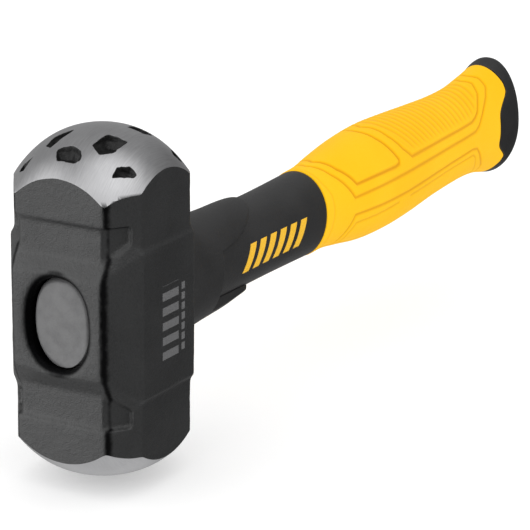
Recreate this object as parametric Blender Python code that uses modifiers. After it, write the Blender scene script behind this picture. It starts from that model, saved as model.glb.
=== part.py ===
"""Short-handled sledgehammer: forged steel head, resin-potted fibreglass core,
moulded black neck with an overstrike collar, soft yellow grip and a flared butt cap.

Units are metres and +Z is up. All pieces are laid out around the centre of the
head's eye, with the handle along +X and the striking faces looking along +Z and -Z.
One empty then lifts the whole hammer so that its lower face stands on Z = 0.
"""
import math

import bmesh
import bpy
from mathutils import Matrix, Vector

# ------------------------------------------------------------ driving dimensions
GAP = 0.0003                 # clearance between pieces that touch

FACE_TOP = 0.0542            # crown of the pocketed striking face above the eye centre
FACE_BOTTOM = 0.0515         # crown of the plain striking face below the eye centre
CROWN_TOP = 16.0             # z falls by CROWN * r**2 + CROWN_4 * r**4
CROWN_BOTTOM = 11.5
CROWN_4 = 1.0e4

END_X = 0.0229               # half depth of the head at its two ends
END_Y = 0.0153               # half width of the flat on the eye side
CHEEK_X = 0.0133             # half width of the flat on the cheek
CHEEK_Y = 0.0220             # half width of the head at its two ends
CORNER_R = 0.0016            # rounding where the eye side meets the corner flat
CREASE_R = 0.0008            # rounding where the corner flat meets the cheek

NECK_TOP = 0.0303            # the shallow forged necks run from here ...
NECK_LOW = 0.0170            # ... down into the raised middle
NECK_DEPTH = 0.0009
CORNER_DEPTH = 0.0016        # the necks are deeper on the corner flats
POCKET_WALL = 0.74           # how far along the corner flat the neck reaches

BOSS_X = 0.0248              # raised middle of the head, around the eye
BOSS_Y = 0.0150
BOSS_Z = 0.0143
PANEL_X = 0.0138             # raised middle of the head, on the cheeks
PANEL_Y = 0.0231
PANEL_Z = 0.0220

EYE_Y = 0.0100               # throat of the eye
EYE_Z = 0.0136
EYE_LIP = 0.0030             # how far the eye's rounded lip spreads at the surface
EYE_LIP_DEPTH = 0.0022
EYE_SHAPE = 2.3              # superellipse exponent, 2 is a plain ellipse
RESIN_RECESS = 0.0028        # resin surface below the boss
RESIN_COVER = 0.0040         # resin over the end of the core

CORE_Y = 0.0065              # fibreglass core
CORE_Z = 0.0090
CORE_END = 0.2500
JACKET_START = BOSS_X + GAP
JACKET_END = 0.2562
GRIP_START = 0.1160          # the moulded neck steps down here to carry the grip
COLLAR_SIDE = 0.0490         # where the collar ends on the two sides ...
COLLAR_TOP = 0.0780          # ... on the round-ended tongue above
TONGUE_LOW = 0.37            # sine of the angle where the tongue leaves the side edge
COLLAR_RIB = 0.0720          # ... and on the rib below
RIB_HALF = 0.62              # half width of that rib, as a share of the section
SEAM_SIDE = 0.2475           # the seam between grip and cap on the two sides ...
SEAM_TOP = 0.2524            # ... above and below ...
SEAM_LOBE = 0.0024           # ... and how much further back the lobes between them reach
SEAM_EASE = (0.25, 0.90)     # cosine of twice the angle, from where the lobes end to the full side
SEAM_RINGS = 5               # steps across the seam's face
CAP_RIM = 0.2572
CAP_END = 0.2647

ROUND = 48                   # points round a handle section

# Handle sections: distance from the eye, height above the axis, depth below it, half width.
NECK = [(0.0225, 0.0135, 0.0150, 0.0115), (0.060, 0.0130, 0.0152, 0.0111),
        (0.085, 0.0126, 0.0151, 0.0109), (0.100, 0.0129, 0.0152, 0.0111),
        (0.1165, 0.0135, 0.0154, 0.0114)]
TENON = [(0.1155, 0.0115, 0.0128, 0.0093), (0.150, 0.0128, 0.0130, 0.0098),
         (0.200, 0.0130, 0.0125, 0.0095), (0.255, 0.0135, 0.0125, 0.0090)]
COLLAR = [(0.0225, 0.0173, 0.0207, 0.0144), (0.045, 0.0152, 0.0192, 0.0131),
          (0.060, 0.0145, 0.0186, 0.0122), (0.0725, 0.0143, 0.0172, 0.0117),
          (0.080, 0.0137, 0.0165, 0.0115)]
GRIP = [(0.1155, 0.0137, 0.0156, 0.0115), (0.125, 0.0143, 0.0154, 0.0119),
        (0.136, 0.0162, 0.0166, 0.0132), (0.150, 0.0182, 0.0184, 0.0146),
        (0.166, 0.0195, 0.0187, 0.0151), (0.182, 0.0193, 0.0179, 0.0146),
        (0.200, 0.0187, 0.0163, 0.0136), (0.218, 0.0183, 0.0154, 0.0127),
        (0.232, 0.0190, 0.0154, 0.0119), (0.2434, 0.0209, 0.0163, 0.0119),
        (0.2523, 0.0227, 0.0180, 0.0122), (0.2572, 0.0241, 0.0190, 0.0128)]
CAP_TAIL = [(0.2597, 0.0240, 0.0189, 0.0128), (0.2627, 0.0225, 0.0175, 0.0117),
            (0.2647, 0.0185, 0.0141, 0.0091)]

# Pockets in the upper striking face: corner points on the plan of the head, in mm.
POCKETS = {
    "edge_left": [(-18.5, 15.0), (-14.6, 13.6), (-15.2, 17.0), (-17.2, 17.8)],
    "long_left": [(-5.6, 5.4), (-8.0, 5.6), (-15.6, 8.2), (-13.2, 11.8), (-8.6, 10.2)],
    "front": [(-19.4, 3.9), (-15.2, 5.0), (-13.6, 0.8), (-15.0, -3.0), (-17.6, -4.7), (-19.4, -3.7)],
    "diamond": [(-12.0, -4.6), (-5.4, -5.7), (-4.2, -11.8), (-12.0, -11.9), (-15.6, -8.2)],
    "half_moon": [(-17.2, -14.2), (-13.8, -14.0), (-10.8, -16.6), (-10.6, -19.2), (-12.0, -19.4)],
    "long_right": [(4.0, -6.2), (8.2, -5.4), (13.0, -9.4), (8.8, -12.2), (5.4, -11.0)],
    "edge_right": [(9.4, -18.4), (13.0, -15.4), (14.6, -17.6), (12.0, -20.4)],
    "rear": [(19.4, -3.4), (15.2, -4.4), (13.4, 0.6), (15.2, 3.4), (18.0, 4.4), (19.4, 3.0)],
    "diamond_far": [(12.0, 5.6), (5.0, 5.0), (4.4, 10.8), (11.4, 12.4), (15.0, 9.2)],
    "half_moon_far": [(-2.0, 15.2), (5.6, 15.0), (7.0, 17.6), (4.4, 19.8), (-1.0, 19.0)],
    "edge_far": [(17.4, 13.4), (14.0, 13.6), (11.2, 16.4), (11.8, 19.0), (14.2, 18.0)],
}
POCKET_DEPTH = 0.0022        # below the face at the pocket's middle
POCKET_FLOOR = 0.78          # size of a pocket's floor against its mouth

# ------------------------------------------------------------ scene, collections, materials
for leftover in list(bpy.data.objects):
    bpy.data.objects.remove(leftover, do_unlink=True)

parts = bpy.data.collections.new("sledgehammer")
tools = bpy.data.collections.new("cutters")
bpy.context.scene.collection.children.link(parts)
bpy.context.scene.collection.children.link(tools)

frame = bpy.data.objects.new("hammer_frame", None)
parts.objects.link(frame)
frame.location = (0.5 * (BOSS_X - CAP_END), 0.0, FACE_BOTTOM)


def material(name, colour, roughness, metallic=0.0):
    made = bpy.data.materials.new(name)
    made.use_nodes = True
    shader = made.node_tree.nodes["Principled BSDF"]
    shader.inputs["Base Color"].default_value = (*colour, 1.0)
    shader.inputs["Roughness"].default_value = roughness
    shader.inputs["Metallic"].default_value = metallic
    return made


# ------------------------------------------------------------ modelling helpers
def solid_from(bm, name, collection=tools):
    """Turn a bmesh into an object on the hammer's frame; cutters are drawn as wire."""
    bmesh.ops.recalc_face_normals(bm, faces=bm.faces)
    mesh = bpy.data.meshes.new(name)
    bm.to_mesh(mesh)
    bm.free()
    made = bpy.data.objects.new(name, mesh)
    collection.objects.link(made)
    made.parent = frame
    if collection is tools:
        made.hide_render = True
        made.display_type = "WIRE"
    return made


def prism(name, outline, low, high, placing=Matrix.Identity(4), collection=tools):
    """A flat outline in X and Y, raised from low to high, then moved into place."""
    bm = bmesh.new()
    face = bm.faces.new([bm.verts.new((x, y, low)) for x, y in outline])
    raised = bmesh.ops.extrude_face_region(bm, geom=[face])["geom"]
    top = [item for item in raised if isinstance(item, bmesh.types.BMVert)]
    bmesh.ops.translate(bm, verts=top, vec=(0.0, 0.0, high - low))
    bmesh.ops.transform(bm, matrix=placing, verts=bm.verts)
    return solid_from(bm, name, collection)


def loft(name, rings, collection=tools):
    """A skin over rings with equal point counts, closed at both ends."""
    bm = bmesh.new()
    rows = [[bm.verts.new(point) for point in ring] for ring in rings]
    for near, far in zip(rows[:-1], rows[1:]):
        for i in range(len(near)):
            j = (i + 1) % len(near)
            bm.faces.new((near[i], near[j], far[j], far[i]))
    bm.faces.new(rows[0])
    bm.faces.new(rows[-1])
    return solid_from(bm, name, collection)


def sleeve(name, rings, collection=parts):
    """A tube: the rings run along its outside and back along its bore, and join up."""
    bm = bmesh.new()
    rows = [[bm.verts.new(point) for point in ring] for ring in rings]
    for near, far in zip(rows, rows[1:] + rows[:1]):
        for i in range(len(near)):
            j = (i + 1) % len(near)
            bm.faces.new((near[i], near[j], far[j], far[i]))
    return solid_from(bm, name, collection)


def combine(target, tool, operation):
    """EXACT Boolean, applied at once so that the next one starts from a plain mesh."""
    cut = target.modifiers.new(tool.name, "BOOLEAN")
    cut.operation = operation
    cut.solver = "EXACT"
    cut.object = tool
    bpy.context.view_layer.update()
    shaped = bpy.data.meshes.new_from_object(target.evaluated_get(bpy.context.evaluated_depsgraph_get()))
    target.modifiers.clear()
    target.data = shaped


def finish(piece, surface):
    piece.data.materials.clear()
    piece.data.materials.append(surface)
    piece.data.shade_smooth()
    piece.data.set_sharp_from_angle(angle=math.radians(28))
    return piece


# ------------------------------------------------------------ shapes that repeat
def rounded(corners):
    """Outline with its corners rounded; each corner is (x, y, radius)."""
    points = []
    for i, (x, y, radius) in enumerate(corners):
        here = Vector((x, y))
        before = (Vector(corners[i - 1][:2]) - here).normalized()
        after = (Vector(corners[(i + 1) % len(corners)][:2]) - here).normalized()
        half = 0.5 * before.angle(after)
        reach = radius / math.tan(half)
        centre = here + (before + after).normalized() * (radius / math.sin(half))
        start = here + before * reach - centre
        end = here + after * reach - centre
        for step in range(4):
            points.append(centre + radius * start.slerp(end, step / 3))
    return [(point.x, point.y) for point in points]


def head_outline():
    quarter = [(END_X, END_Y, CORNER_R), (CHEEK_X, CHEEK_Y, CREASE_R)]
    left = [(-x, y, r) for x, y, r in reversed(quarter)]
    below = [(-x, -y, r) for x, y, r in quarter + left]
    return rounded(quarter + left + below)


def oval(x, half_y, up, down, count, shape=2.0):
    """Ring across the handle; up and down are its extents above and below the axis."""
    ring = []
    for i in range(count):
        angle = 2.0 * math.pi * i / count
        c, s = math.cos(angle), math.sin(angle)
        y = half_y * math.copysign(abs(c) ** (2.0 / shape), c)
        z = (up if s > 0 else down) * math.copysign(abs(s) ** (2.0 / shape), s)
        ring.append(Vector((x, y, z)))
    return ring


def section(table, x):
    """Height, depth and half width of a handle table at distance x, eased between rows."""
    if x <= table[0][0]:
        return table[0][1:]
    for i in range(len(table) - 1):
        x0, x1 = table[i][0], table[i + 1][0]
        if x <= x1:
            t = (x - x0) / (x1 - x0)
            out = []
            for k in (1, 2, 3):
                y0, y1 = table[i][k], table[i + 1][k]
                before = table[max(i - 1, 0)]
                after = table[min(i + 2, len(table) - 1)]
                m0 = (y1 - before[k]) / (x1 - before[0]) * (x1 - x0)
                m1 = (after[k] - y0) / (after[0] - x0) * (x1 - x0)
                out.append((2 * t**3 - 3 * t**2 + 1) * y0 + (t**3 - 2 * t**2 + t) * m0
                           + (3 * t**2 - 2 * t**3) * y1 + (t**3 - t**2) * m1)
            return tuple(out)
    return table[-1][1:]


def handle_ring(table, place, grow=0.0):
    """Ring on a handle table; place(angle) gives the distance from the eye at each angle."""
    ring = []
    for i in range(ROUND):
        angle = 2.0 * math.pi * i / ROUND
        x = place(angle)
        up, down, half = section(table, x)
        c, s = math.cos(angle), math.sin(angle)
        ring.append(Vector((x, (half + grow) * c, ((up if s > 0 else down) + grow) * s)))
    return ring


def span(start, end, steps):
    """Placing functions for rings from one end to the other, even steps apart."""
    def placed(t):
        return lambda angle: start(angle) + t * (end(angle) - start(angle))
    return [placed(i / steps) for i in range(steps + 1)]


def at(x):
    return lambda angle: x


def crown(radius, top):
    """Height of a striking face above or below the eye centre at a radius."""
    height, curve = (FACE_TOP, CROWN_TOP) if top else (FACE_BOTTOM, CROWN_BOTTOM)
    return height - curve * radius**2 - CROWN_4 * radius**4


# ------------------------------------------------------------ head
def domed_blank():
    """Round blank with both crowns, turned about the strike axis."""
    reach, steps = 0.034, 9
    upper = [(reach * i / steps, crown(reach * i / steps, True)) for i in range(steps + 1)]
    lower = [(reach * i / steps, -crown(reach * i / steps, False)) for i in range(steps + 1)]
    bm = bmesh.new()
    verts = [bm.verts.new((r, 0.0, z)) for r, z in upper + lower[::-1]]
    for a, b in zip(verts[:-1], verts[1:]):
        bm.edges.new((a, b))
    mesh = bpy.data.meshes.new("domed_blank")
    bm.to_mesh(mesh)
    bm.free()
    blank = bpy.data.objects.new("domed_blank", mesh)
    tools.objects.link(blank)
    blank.parent = frame
    blank.hide_render = True
    blank.display_type = "WIRE"
    turn = blank.modifiers.new("turn", "SCREW")
    turn.axis = "Z"
    turn.steps = turn.render_steps = 56
    turn.use_merge_vertices = True
    turn.merge_threshold = 0.00001
    turn.use_normal_calculate = True
    return blank


def raised_middle():
    """Thicker middle of the forging: boss round the eye, panels on the cheeks, ramps between."""
    bm = bmesh.new()
    quarter = [(BOSS_X, BOSS_Y, BOSS_Z), (BOSS_X, 0.5 * BOSS_Y, BOSS_Z + 0.0006),
               (PANEL_X, PANEL_Y, PANEL_Z), (0.0216, 0.0150, 0.0204),
               (0.0216, 0.0070, 0.0208), (0.0152, 0.0203, 0.0252)]
    for x, y, z in quarter:
        for sx in (-1, 1):
            for sy in (-1, 1):
                for sz in (-1, 1):
                    bm.verts.new((sx * x, sy * y, sz * z))
    bmesh.ops.convex_hull(bm, input=bm.verts)
    loose = [vert for vert in bm.verts if not vert.link_faces]
    bmesh.ops.delete(bm, geom=loose, context="VERTS")
    return solid_from(bm, "raised_middle")


def neck_band(side, level):
    """Shallow band across the eye side, between an end block and the raised middle."""
    low, high = sorted((level * NECK_LOW, level * NECK_TOP))
    inner, outer, reach = side * (END_X - NECK_DEPTH), side * (END_X + 0.004), END_Y + 0.002
    outline = [(inner, -reach), (outer, -reach), (outer, reach), (inner, reach)]
    return prism("neck_band", outline, low, high)


def corner_pocket(sx, sy, level):
    """The neck carried onto a corner flat: a shallow pocket with a slanting inner edge."""
    start = Vector((sx * END_X, sy * END_Y, 0.0))
    end = Vector((sx * CHEEK_X, sy * CHEEK_Y, 0.0))
    along = (end - start).normalized()
    length = (end - start).length
    out = Vector((sx * abs(along.y), sy * abs(along.x), 0.0))
    wall = POCKET_WALL * length
    outline = [(-0.0012, NECK_LOW), (-0.0012, NECK_TOP), (wall - 0.0006, NECK_TOP),
               (wall, NECK_TOP - 0.0008), (wall, 0.0249), (0.0006, 0.0170)]
    up = Vector((0.0, 0.0, level))
    placing = Matrix((along, up, out)).transposed().to_4x4()
    placing.translation = start
    return prism("corner_pocket", outline, -CORNER_DEPTH, 0.004, placing)


def eye_cutter():
    """Oval way through the head, spreading into a rounded lip at both ends."""
    rings = []
    steps = 4
    for side in (-1, 1):
        flare = []
        for i in range(steps + 1):
            angle = 0.5 * math.pi * i / steps
            spread = EYE_LIP * (1.0 - math.cos(angle))
            x = BOSS_X - EYE_LIP_DEPTH * (1.0 - math.sin(angle))
            flare.append(oval(side * x, EYE_Y + spread, EYE_Z + spread, EYE_Z + spread, 40, EYE_SHAPE))
        flare.append(oval(side * (BOSS_X + 0.002), EYE_Y + EYE_LIP, EYE_Z + EYE_LIP,
                          EYE_Z + EYE_LIP, 40, EYE_SHAPE))
        rings += flare[::-1] if side < 0 else flare
    return loft("eye_cutter", rings)


def pocket_cutter(name, corners):
    """One forged pocket: its walls lean in from the face to a flat floor."""
    points = [Vector((x, y)) * 0.001 for x, y in corners]
    middle = sum(points, Vector((0.0, 0.0))) / len(points)
    surface = crown(middle.length, True)
    rings = []
    for height, share in ((surface - POCKET_DEPTH, POCKET_FLOOR), (surface, 1.0), (FACE_TOP + 0.004, 1.0)):
        ring = []
        for point in points:
            flat = middle + (point - middle) * share
            ring.append(Vector((flat.x, flat.y, height)))
        rings.append(ring)
    return loft(name, rings)


def build_head():
    head = prism("head", head_outline(), -0.060, 0.060, collection=parts)
    combine(head, domed_blank(), "INTERSECT")
    for level in (-1, 1):
        for side in (-1, 1):
            combine(head, neck_band(side, level), "DIFFERENCE")
            for sy in (-1, 1):
                combine(head, corner_pocket(side, sy, level), "DIFFERENCE")
    combine(head, raised_middle(), "UNION")
    combine(head, eye_cutter(), "DIFFERENCE")
    for name, corners in POCKETS.items():
        combine(head, pocket_cutter("pocket_" + name, corners), "DIFFERENCE")
    return finish(head, material("black_painted_steel", (0.045, 0.046, 0.048), 0.55, 0.6))


# ------------------------------------------------------------ handle
def core_rings(start, end, grow=0.0):
    return [oval(x, CORE_Y + grow, CORE_Z + grow, CORE_Z + grow, 32) for x in (start, end)]


def build_core():
    start = -BOSS_X + RESIN_RECESS + RESIN_COVER
    core = loft("handle_core", core_rings(start, CORE_END), parts)
    return finish(core, material("fibreglass", (0.62, 0.58, 0.42), 0.5))


def build_potting():
    """Resin that fills the eye round the core and closes over the core's end."""
    front = -BOSS_X + RESIN_RECESS
    rings = [oval(x, EYE_Y - GAP, EYE_Z - GAP, EYE_Z - GAP, 40, EYE_SHAPE) for x in (front, BOSS_X - GAP)]
    potting = loft("eye_potting", rings, parts)
    hollow = core_rings(front + RESIN_COVER - GAP, END_X + 0.005, GAP)
    combine(potting, loft("core_in_resin", hollow), "DIFFERENCE")
    return finish(potting, material("grey_resin", (0.21, 0.21, 0.215), 0.45))


def build_jacket():
    """Black shell over the core: the bare neck, then a thinner stretch that carries the grip."""
    outside = [handle_ring(NECK, place) for place in span(at(JACKET_START), at(GRIP_START), 12)]
    outside += [handle_ring(TENON, place) for place in span(at(GRIP_START), at(JACKET_END), 12)]
    jacket = loft("handle_jacket", outside, parts)
    combine(jacket, loft("core_in_jacket", core_rings(END_X - 0.005, CORE_END + GAP, GAP)), "DIFFERENCE")
    return finish(jacket, material("black_moulding", (0.055, 0.055, 0.058), 0.5))


def collar_end(angle):
    """The collar runs out into a tongue above and a narrow rib below."""
    s, c = math.sin(angle), math.cos(angle)
    if s < 0:
        return COLLAR_RIB if abs(c) < RIB_HALF else COLLAR_SIDE
    up_tongue = max((s - TONGUE_LOW) / (1.0 - TONGUE_LOW), 0.0)
    return COLLAR_SIDE + (COLLAR_TOP - COLLAR_SIDE) * math.sqrt(up_tongue)


def build_collar():
    places = span(at(JACKET_START), collar_end, 8)
    outside = [handle_ring(COLLAR, place) for place in places]
    bore = [handle_ring(NECK, place, GAP) for place in reversed(places)]
    collar = sleeve("overstrike_collar", outside + bore)
    return finish(collar, material("black_rubber", (0.05, 0.05, 0.052), 0.6))


def grip_end(angle):
    """The grip's rear edge is scalloped: cut back on the sides, with lobes above and below."""
    turn = math.cos(2.0 * angle)
    lobe = SEAM_TOP + SEAM_LOBE * min(1.0 + turn, 1.0)
    t = (turn - SEAM_EASE[0]) / (SEAM_EASE[1] - SEAM_EASE[0])
    t = min(max(t, 0.0), 1.0)
    side = t * t * (3.0 - 2.0 * t)
    return lobe + (SEAM_SIDE - lobe) * side - GAP


def seam_rings(place):
    """Rings across the seam's face, between the grip's outside and its bore."""
    outer, inner = handle_ring(GRIP, place), handle_ring(TENON, place, GAP)
    steps = range(1, SEAM_RINGS)
    return [[a.lerp(b, step / SEAM_RINGS) for a, b in zip(outer, inner)] for step in steps]


def build_grip():
    places = span(at(GRIP_START + GAP), grip_end, 26)
    outside = [handle_ring(GRIP, place) for place in places]
    bore = [handle_ring(TENON, place, GAP) for place in reversed(places)]
    rings = outside + seam_rings(grip_end) + bore
    return finish(sleeve("grip", rings), material("yellow_soft_grip", (0.95, 0.50, 0.02), 0.55))


def build_cap():
    """Flared end that stops the hand sliding off; its socket sits on the end of the shell."""
    def mouth(angle):
        return grip_end(angle) + GAP

    socket = [handle_ring(TENON, place, GAP) for place in (at(JACKET_END + GAP), mouth)]
    outside = [handle_ring(GRIP, place) for place in span(mouth, at(CAP_RIM), 4)]
    tail = [oval(x, half, up, down, ROUND) for x, up, down, half in CAP_TAIL]
    cap = loft("butt_cap", socket + seam_rings(mouth)[::-1] + outside + tail, parts)
    return finish(cap, material("black_cap", (0.05, 0.05, 0.052), 0.55))


build_head()
build_core()
build_potting()
build_jacket()
build_collar()
build_grip()
build_cap()
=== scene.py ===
# %% [markdown]
# # A short sledgehammer, finished for the camera
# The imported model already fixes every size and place. This lesson keeps those and
# rebuilds each piece with the surface it has in the hand: a forged and ground steel
# head, poured resin in the eye, a grained black neck, a soft yellow grip with its
# grooves, and a flared black butt. All lengths are in metres, with +Z up.

import math

import bmesh
import bpy
import numpy as np
from mathutils import Euler, Matrix, Vector, noise


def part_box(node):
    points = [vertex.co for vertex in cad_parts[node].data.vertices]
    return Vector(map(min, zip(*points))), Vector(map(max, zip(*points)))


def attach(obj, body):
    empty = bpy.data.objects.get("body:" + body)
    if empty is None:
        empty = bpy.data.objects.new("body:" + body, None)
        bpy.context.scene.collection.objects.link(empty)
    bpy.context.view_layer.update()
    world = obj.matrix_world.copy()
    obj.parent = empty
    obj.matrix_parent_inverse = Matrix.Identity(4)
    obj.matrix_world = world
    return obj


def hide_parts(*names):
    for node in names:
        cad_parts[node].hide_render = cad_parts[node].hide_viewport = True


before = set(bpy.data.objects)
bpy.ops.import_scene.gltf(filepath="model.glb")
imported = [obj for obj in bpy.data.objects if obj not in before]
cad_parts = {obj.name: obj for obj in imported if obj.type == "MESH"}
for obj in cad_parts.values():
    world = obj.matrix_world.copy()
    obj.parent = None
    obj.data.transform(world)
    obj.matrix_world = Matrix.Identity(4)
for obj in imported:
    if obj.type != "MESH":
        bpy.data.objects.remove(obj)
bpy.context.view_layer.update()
MM = 0.001

# %% [markdown]
# ## Where the hammer lies
# Everything is drawn around the middle of the head's eye, with the handle running
# along +X. The eye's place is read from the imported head: it is halfway along the
# head's depth, and the plain striking face is a known distance below it.

# %% Find the eye
FACE_TOP = 0.0542
FACE_BOTTOM = 0.0515
head_low, head_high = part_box("head")
EYE = Vector((0.5 * (head_low.x + head_high.x), 0.0, head_low.z + FACE_BOTTOM))
BOSS_X = 0.5 * (head_high.x - head_low.x)
CAP_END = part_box("butt_cap")[1].x - EYE.x
GAP = 0.0003
print("eye at", tuple(round(v, 5) for v in EYE), "boss", round(BOSS_X, 4), "butt", round(CAP_END, 4))


# %% [markdown]
# ## Handle sections
# A handle like this is drawn as a row of ovals: height above the axis, depth below
# it and half width, at a few stations. Easing between the rows gives the smooth
# swell of the palm. The rows are the ones that the solids were made from, so the
# fine skins land on them exactly.

# %% Section tables
NECK = [(0.0225, 0.0135, 0.0150, 0.0115), (0.060, 0.0130, 0.0152, 0.0111),
        (0.085, 0.0126, 0.0151, 0.0109), (0.100, 0.0129, 0.0152, 0.0111),
        (0.1165, 0.0135, 0.0154, 0.0114)]
TENON = [(0.1155, 0.0115, 0.0128, 0.0093), (0.150, 0.0128, 0.0130, 0.0098),
         (0.200, 0.0130, 0.0125, 0.0095), (0.255, 0.0135, 0.0125, 0.0090)]
COLLAR = [(0.0225, 0.0173, 0.0207, 0.0144), (0.045, 0.0152, 0.0192, 0.0131),
          (0.060, 0.0145, 0.0186, 0.0122), (0.0725, 0.0143, 0.0172, 0.0117),
          (0.080, 0.0137, 0.0165, 0.0115)]
GRIP = [(0.1155, 0.0137, 0.0156, 0.0115), (0.125, 0.0143, 0.0154, 0.0119),
        (0.136, 0.0162, 0.0166, 0.0132), (0.150, 0.0182, 0.0184, 0.0146),
        (0.166, 0.0195, 0.0187, 0.0151), (0.182, 0.0193, 0.0179, 0.0146),
        (0.200, 0.0187, 0.0163, 0.0136), (0.218, 0.0183, 0.0154, 0.0127),
        (0.232, 0.0190, 0.0154, 0.0119), (0.2434, 0.0209, 0.0163, 0.0119),
        (0.2523, 0.0227, 0.0180, 0.0122), (0.2572, 0.0241, 0.0190, 0.0128)]
CAP_TAIL = [(0.2597, 0.0240, 0.0189, 0.0128), (0.2627, 0.0225, 0.0175, 0.0117),
            (0.2647, 0.0185, 0.0141, 0.0091)]


def section(table, x):
    """Height, depth and half width at distances x, eased between the rows."""
    rows = np.array(table)
    x = np.clip(np.asarray(x, float), rows[0, 0], rows[-1, 0])
    i = np.clip(np.searchsorted(rows[:, 0], x, side="right") - 1, 0, len(rows) - 2)
    before = rows[np.maximum(i - 1, 0)]
    after = rows[np.minimum(i + 2, len(rows) - 1)]
    near, far = rows[i], rows[i + 1]
    step = far[..., 0] - near[..., 0]
    t = (x - near[..., 0]) / step
    out = []
    for k in (1, 2, 3):
        m0 = (far[..., k] - before[..., k]) / (far[..., 0] - before[..., 0]) * step
        m1 = (after[..., k] - near[..., k]) / (after[..., 0] - near[..., 0]) * step
        out.append((2 * t**3 - 3 * t**2 + 1) * near[..., k] + (t**3 - 2 * t**2 + t) * m0
                   + (3 * t**2 - 2 * t**3) * far[..., k] + (t**3 - t**2) * m1)
    return out


# %% [markdown]
# ## One helper for every turned-looking skin
# The neck, collar, grip and butt are all skins over rings. A grid of points, rings
# by points round, becomes quads with plain index arithmetic. Where a tube runs back
# down its own bore, the last ring joins the first and the piece is closed.

# %% Ring and skin helpers
ROUND = 256
ANGLES = np.arange(ROUND) * 2.0 * math.pi / ROUND


def rings_on(table, places, grow=0.0):
    """Rings on a table. places is rings by points round, and so may grow be."""
    places = np.atleast_2d(places) * np.ones((1, ROUND))
    up, down, half = section(table, places)
    c, s = np.cos(ANGLES), np.sin(ANGLES)
    z = np.where(s > 0, up, down)
    return np.stack([places, (half + grow) * c, (z + grow) * s], axis=-1)


def between(start, end, steps):
    """Distances for rings from one edge to another; either edge may wave round the handle."""
    t = np.linspace(0.0, 1.0, steps + 1)[:, None]
    start = np.ones((1, ROUND)) * start
    end = np.ones((1, ROUND)) * end
    return start + t * (end - start)


def link(name, mesh, surface):
    """Put a finished mesh in the scene as a piece that rides on the hammer's one body."""
    mesh.shade_smooth()
    mesh.materials.clear()
    mesh.materials.append(surface)
    piece = bpy.data.objects.new(name, mesh)
    bpy.context.scene.collection.objects.link(piece)
    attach(piece, "root")
    print(name, len(mesh.vertices), "points,", len(mesh.polygons), "faces")
    return piece


def skin(name, rings, joined=False):
    """Mesh over rings, joined end to end like a ring doughnut or capped flat at both ends."""
    rows, count = rings.shape[:2]
    index = np.arange(rows * count).reshape(rows, count)
    near = index if joined else index[:-1]
    far = np.roll(index, -1, axis=0) if joined else index[1:]
    quads = np.stack([near, np.roll(near, -1, 1), np.roll(far, -1, 1), far], axis=-1)
    faces = quads.reshape(-1, 4).tolist()
    if not joined:
        faces += [index[0].tolist(), index[-1].tolist()]
    mesh = bpy.data.meshes.new(name)
    mesh.from_pydata((rings.reshape(-1, 3) + np.array(EYE)).tolist(), [], faces)
    bm = bmesh.new()
    bm.from_mesh(mesh)
    bmesh.ops.recalc_face_normals(bm, faces=bm.faces)
    bm.to_mesh(mesh)
    bm.free()
    return mesh


# %% [markdown]
# ## Small tools for building materials
# A material is a short chain of nodes. These helpers add a node with its values and
# join two sockets, so that each material below reads as a list of what it is made of.

# %% Node helpers
def place(tree, kind, **values):
    """Add a node; plain keywords set its properties, and keywords that start with in_ set its inputs by name.
    """
    node = tree.nodes.new(kind)
    for key, value in values.items():
        if key.startswith("in_"):
            socket = key[3:].replace("_", " ")
            found = [s for s in node.inputs if s.name.lower() == socket.lower()]
            found[0].default_value = value
        else:
            setattr(node, key, value)
    return node


def maths(tree, operation, first, second=None, third=None):
    """A Math node on sockets or numbers; gives back its output."""
    node = tree.nodes.new("ShaderNodeMath")
    node.operation = operation
    for i, value in enumerate((first, second, third)):
        if isinstance(value, bpy.types.NodeSocket):
            tree.links.new(value, node.inputs[i])
        elif value is not None:
            node.inputs[i].default_value = value
    return node.outputs[0]


def blend_colour(tree, mask, low, high):
    """Mix two colours, given as sockets or as red, green and blue, by a mask."""
    node = tree.nodes.new("ShaderNodeMix")
    node.data_type = "RGBA"
    tree.links.new(mask, node.inputs["Factor"])
    for socket, value in ((node.inputs[6], low), (node.inputs[7], high)):
        if isinstance(value, bpy.types.NodeSocket):
            tree.links.new(value, socket)
        else:
            socket.default_value = (*value, 1.0)
    return node.outputs[2]


def ramp(tree, value, low, high, out_low=0.0, out_high=1.0):
    """A smooth step of a value between two limits."""
    node = place(tree, "ShaderNodeMapRange", interpolation_type="SMOOTHSTEP")
    tree.links.new(value, node.inputs["Value"])
    for name, number in (("From Min", low), ("From Max", high), ("To Min", out_low), ("To Max", out_high)):
        node.inputs[name].default_value = number
    return node.outputs["Result"]


def new_material(name, **shader_values):
    """A Principled material; keywords name the shader's own inputs, with _ for spaces."""
    made = bpy.data.materials.new(name)
    made.use_nodes = True
    shader = made.node_tree.nodes["Principled BSDF"]
    for key, value in shader_values.items():
        shader.inputs[key.replace("_", " ")].default_value = value
    return made, made.node_tree, shader


def bump(tree, shader, height, distance, strength=1.0):
    node = place(tree, "ShaderNodeBump", in_Strength=strength, in_Distance=distance)
    tree.links.new(height, node.inputs["Height"])
    tree.links.new(node.outputs["Normal"], shader.inputs["Normal"])
    return node


def new_group(name, inputs, outputs):
    """A shader group with named sockets; inputs are name, socket type and default value."""
    group = bpy.data.node_groups.new(name, "ShaderNodeTree")
    for label, kind, value in inputs:
        socket = group.interface.new_socket(label, in_out="INPUT", socket_type=kind)
        socket.default_value = value
    for label, kind in outputs:
        group.interface.new_socket(label, in_out="OUTPUT", socket_type=kind)
    return group, group.nodes.new("NodeGroupInput"), group.nodes.new("NodeGroupOutput")


def use_group(tree, group, **values):
    node = tree.nodes.new("ShaderNodeGroup")
    node.node_tree = group
    for key, value in values.items():
        node.inputs[key.replace("_", " ")].default_value = value
    return node


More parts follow.
